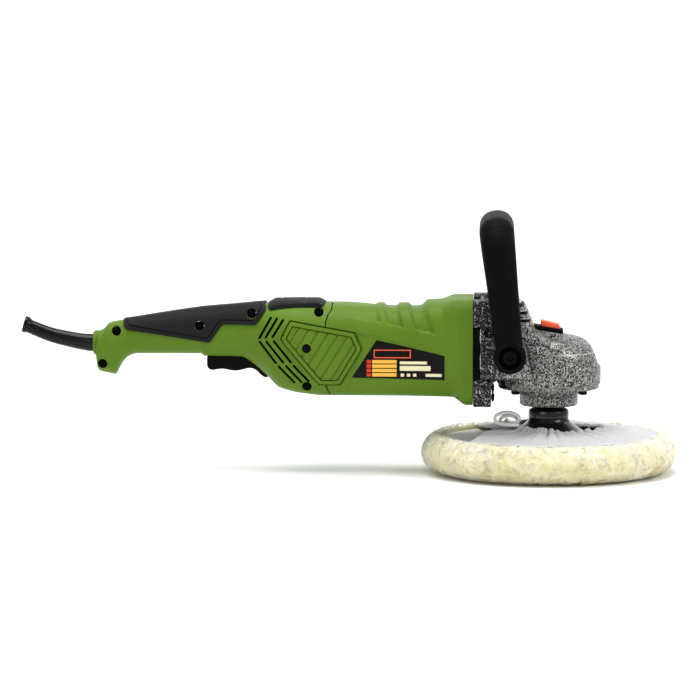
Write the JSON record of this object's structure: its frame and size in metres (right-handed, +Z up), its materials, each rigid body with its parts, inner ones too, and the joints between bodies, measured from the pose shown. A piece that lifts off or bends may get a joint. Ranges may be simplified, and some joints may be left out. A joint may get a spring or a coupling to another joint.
{
  "type": "rotary polisher",
  "caption": "Corded rotary polisher: in-line motor body, cast right-angle gear head with tilting D-handle, and a backing pad wearing a drawstring wool bonnet.",
  "frame": {"origin": "on the spindle axis, at the wool bonnet's polishing face", "axes": "+X from the rear handle to the gear head, +Z up along the spindle to the gear head, +Y to the tool's left"},
  "size_m": [0.5596, 0.2168, 0.2211],
  "materials": {
    "green_shell": "fine-grained green glass-filled nylon",
    "black_shell": "satin black nylon",
    "grip_rubber": "soft black overmould",
    "guard_rubber": "glossy black rubber",
    "plate_plastic": "glossy black moulding",
    "orange_plastic": "orange button",
    "head_casting": "black and silver hammertone paint",
    "bright_steel": "ground steel",
    "black_steel": "black oxide",
    "lamination": "laminated core, varnished",
    "copper_wire": "enamelled copper",
    "brass_box": "pressed brass",
    "carbon": "carbon brush",
    "module": "moulded switch body",
    "foam": "grey foam",
    "wool": "cream lambswool pile",
    "cloth": "white cotton"
  },
  "bodies": {
    "housing": {"handle_shell_right": "green_shell", "handle_shell_left": "green_shell", "motor_housing": "green_shell", "brush_cover_right": "green_shell", "brush_cover_left": "green_shell", "grip_right": "grip_rubber", "grip_left": "grip_rubber", "top_pad": "grip_rubber", "cord_guard": "guard_rubber", "fan_baffle": "black_shell", "gear_housing": "head_casting", "bearing_box": "head_casting", "spindle_bearing": "bright_steel", "rear_bearing": "bright_steel", "front_bearing": "bright_steel", "lock_spring": "bright_steel", "cover_screw_right": "black_steel", "cover_screw_left": "black_steel", "handle_bolt_right": "black_steel", "handle_bolt_left": "black_steel", "shell_screw_1": "black_steel", "shell_screw_2": "black_steel", "shell_screw_3": "black_steel", "shell_screw_4": "black_steel", "shell_screw_5": "black_steel", "shell_screw_6": "black_steel", "flange_screw_1": "black_steel", "flange_screw_2": "black_steel", "flange_screw_3": "black_steel", "flange_screw_4": "black_steel", "box_screw_1": "black_steel", "box_screw_2": "black_steel", "box_screw_3": "black_steel", "box_screw_4": "black_steel", "stator_core": "lamination", "field_winding": "copper_wire", "brush_holder_right": "brass_box", "brush_holder_left": "brass_box", "carbon_brush_right": "carbon", "carbon_brush_left": "carbon", "switch_module": "module", "speed_control": "module"},
    "spindle": {"spindle": "bright_steel", "bevel_gear": "bright_steel", "backing_plate": "plate_plastic", "foam_pad": "foam", "wool_bonnet": "wool", "bonnet_cloth": "cloth", "drawstring": "cloth"},
    "armature": {"armature_shaft": "bright_steel", "armature_core": "lamination", "commutator": "copper_wire", "fan": "black_shell", "bevel_pinion": "bright_steel"},
    "lock_button": {"lock_button": "orange_plastic", "lock_pin": "bright_steel"},
    "trigger": {"trigger": "black_shell"},
    "lock_on_button": {"lock_on_button": "black_shell"},
    "speed_dial": {"speed_dial": "black_shell"},
    "d_handle": {"d_handle": "black_shell"}
  },
  "joints": [
    {"name": "spindle_spin", "type": "hinge", "parent": "housing", "child": "spindle", "pos_m": [0, 0, 0], "axis": [0, 0, 1], "continuous": true},
    {"name": "armature_spin", "type": "hinge", "parent": "housing", "child": "armature", "pos_m": [0, 0, 0.105], "axis": [1, 0, 0], "continuous": true},
    {"name": "spindle_lock", "type": "slide", "parent": "housing", "child": "lock_button", "axis": [0, 0, -1], "range_m": [0, 0.0035], "stiffness_N_per_m": 600, "springref_m": -0.008, "deforming": ["lock_spring"]},
    {"name": "trigger_squeeze", "type": "hinge", "parent": "housing", "child": "trigger", "pos_m": [-0.243, 0, 0.099], "axis": [0, 1, 0], "range_deg": [0, 5], "stiffness_Nm_per_rad": 1.2, "springref_deg": -8.59},
    {"name": "lock_on_press", "type": "slide", "parent": "housing", "child": "lock_on_button", "axis": [0, -1, 0], "range_m": [0, 0.003], "stiffness_N_per_m": 500, "springref_m": -0.006},
    {"name": "speed_select", "type": "hinge", "parent": "housing", "child": "speed_dial", "pos_m": [-0.374, 0.0155, 0.103], "axis": [0, 1, 0], "range_deg": [0, 270]},
    {"name": "handle_tilt", "type": "hinge", "parent": "housing", "child": "d_handle", "pos_m": [-0.0333, 0, 0.104], "axis": [0, 1, 0], "range_deg": [-40, 75]}
  ],
  "couplings": [
    {"joint": "armature_spin", "follows": "spindle_spin", "ratio": -5}
  ]
}
